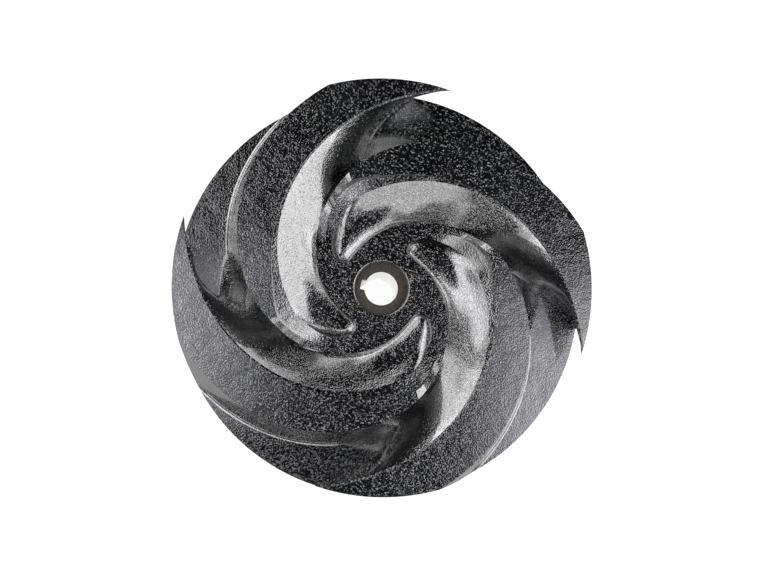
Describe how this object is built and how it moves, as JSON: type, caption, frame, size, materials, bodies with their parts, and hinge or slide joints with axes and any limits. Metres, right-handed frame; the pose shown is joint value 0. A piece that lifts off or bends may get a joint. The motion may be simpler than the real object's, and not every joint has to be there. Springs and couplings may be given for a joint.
{
  "type": "pump impeller",
  "caption": "Semi-open pump impeller: a back disc and hub carrying thick, twisted, backward-curved vanes with flat front lands, on a keyed bore.",
  "frame": {"origin": "on the shaft axis, at the machined back face of the hub boss, which the part rests on", "axes": "+Z along the shaft axis towards the suction side, the open front of the vanes; +X and +Y across it, with the keyway 168 degrees from +X"},
  "size_m": [0.345, 0.345, 0.0835],
  "materials": {
    "casting": "glossy black paint over rough sand casting, bare machined nut seat and bore"
  },
  "bodies": {
    "root": {"impeller": "casting"}
  },
  "joints": []
}
